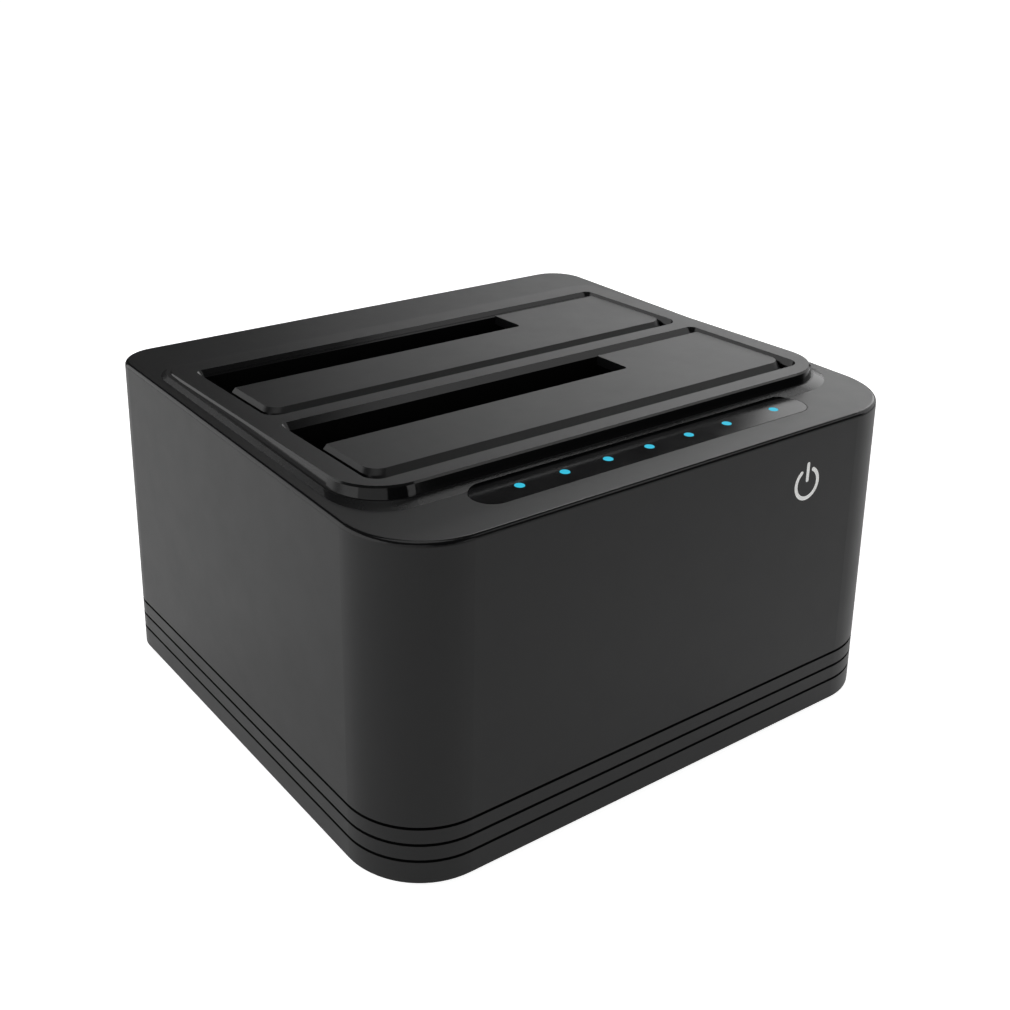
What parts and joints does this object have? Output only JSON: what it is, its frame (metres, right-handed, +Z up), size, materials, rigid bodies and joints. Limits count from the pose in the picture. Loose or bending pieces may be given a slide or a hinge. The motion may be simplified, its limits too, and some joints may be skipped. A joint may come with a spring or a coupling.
{
  "type": "drive duplicator",
  "caption": "Desktop hard-drive docking and cloning box with sprung-door drive slots in a raised top bezel, a status light strip and a rear panel of sockets.",
  "frame": {"origin": "middle of the whole object's outline, rear switch included, on the surface the feet stand on", "axes": "+Z up, +X to the right seen from the front, +Y towards the rear panel; the slots run along X"},
  "size_m": [0.1266, 0.114, 0.0703],
  "materials": {
    "housing": "fine satin texture, black",
    "bezel": "smooth black",
    "door": "fine satin texture, black",
    "frame": "as moulded, black",
    "lens": "polished black",
    "light_pipe": "clear moulded plastic",
    "led": "blue LED package",
    "board": "green solder mask",
    "connector": "black nylon",
    "contact": "gold plated",
    "chip": "moulded epoxy",
    "can": "sleeved can",
    "inductor": "ferrite",
    "ribbon": "grey ribbon",
    "steel": "drawn steel",
    "plated": "nickel plated",
    "tongue": "blue insulator",
    "control": "smooth black",
    "foot": "soft black rubber"
  },
  "bodies": {
    "housing": {"upper_cover": "housing", "base_tray": "housing", "rubber_feet": "foot", "slot_bezel": "bezel", "bay_frame": "frame", "main_board": "board", "bridge_controller": "chip", "capacitors": "can", "power_inductors": "inductor", "led_board": "board", "status_leds": "led", "led_ribbon": "ribbon", "ribbon_socket": "connector", "led_window": "lens", "light_pipes": "light_pipe", "usb_port_shell": "plated", "usb_port_tongue": "tongue", "dc_jack_body": "connector", "dc_jack_pin": "plated", "power_switch_body": "control", "clone_switch": "connector", "case_screws": "steel", "frame_screws": "steel", "led_board_screws": "steel", "hinge_pin_front": "steel", "flap_spring_front": "steel", "sata_connector_front": "connector", "sata_contacts_front": "contact", "hinge_pin_rear": "steel", "flap_spring_rear": "steel", "sata_connector_rear": "connector", "sata_contacts_rear": "contact"},
    "front_flap": {"flap_front": "door"},
    "rear_flap": {"flap_rear": "door"},
    "rocker": {"power_rocker": "control"},
    "button": {"clone_button": "control", "switch_plunger": "connector"}
  },
  "joints": [
    {"name": "front_flap_hinge", "type": "hinge", "parent": "housing", "child": "front_flap", "pos_m": [0, -0.0343, 0.0663], "axis": [-1, 0, 0], "range_deg": [0, 90], "stiffness_Nm_per_rad": 0.004, "springref_deg": -45.84},
    {"name": "rear_flap_hinge", "type": "hinge", "parent": "housing", "child": "rear_flap", "pos_m": [0, 0.0016, 0.0663], "axis": [-1, 0, 0], "range_deg": [0, 90], "stiffness_Nm_per_rad": 0.004, "springref_deg": -45.84},
    {"name": "power_rocker_hinge", "type": "hinge", "parent": "housing", "child": "rocker", "pos_m": [-0.036, 0.0539, 0.0225], "axis": [0, 0, 1], "range_deg": [0, 20]},
    {"name": "clone_button_press", "type": "slide", "parent": "housing", "child": "button", "axis": [0, -1, 0], "range_m": [0, 0.001], "stiffness_N_per_m": 800, "springref_m": -0.0006}
  ]
}
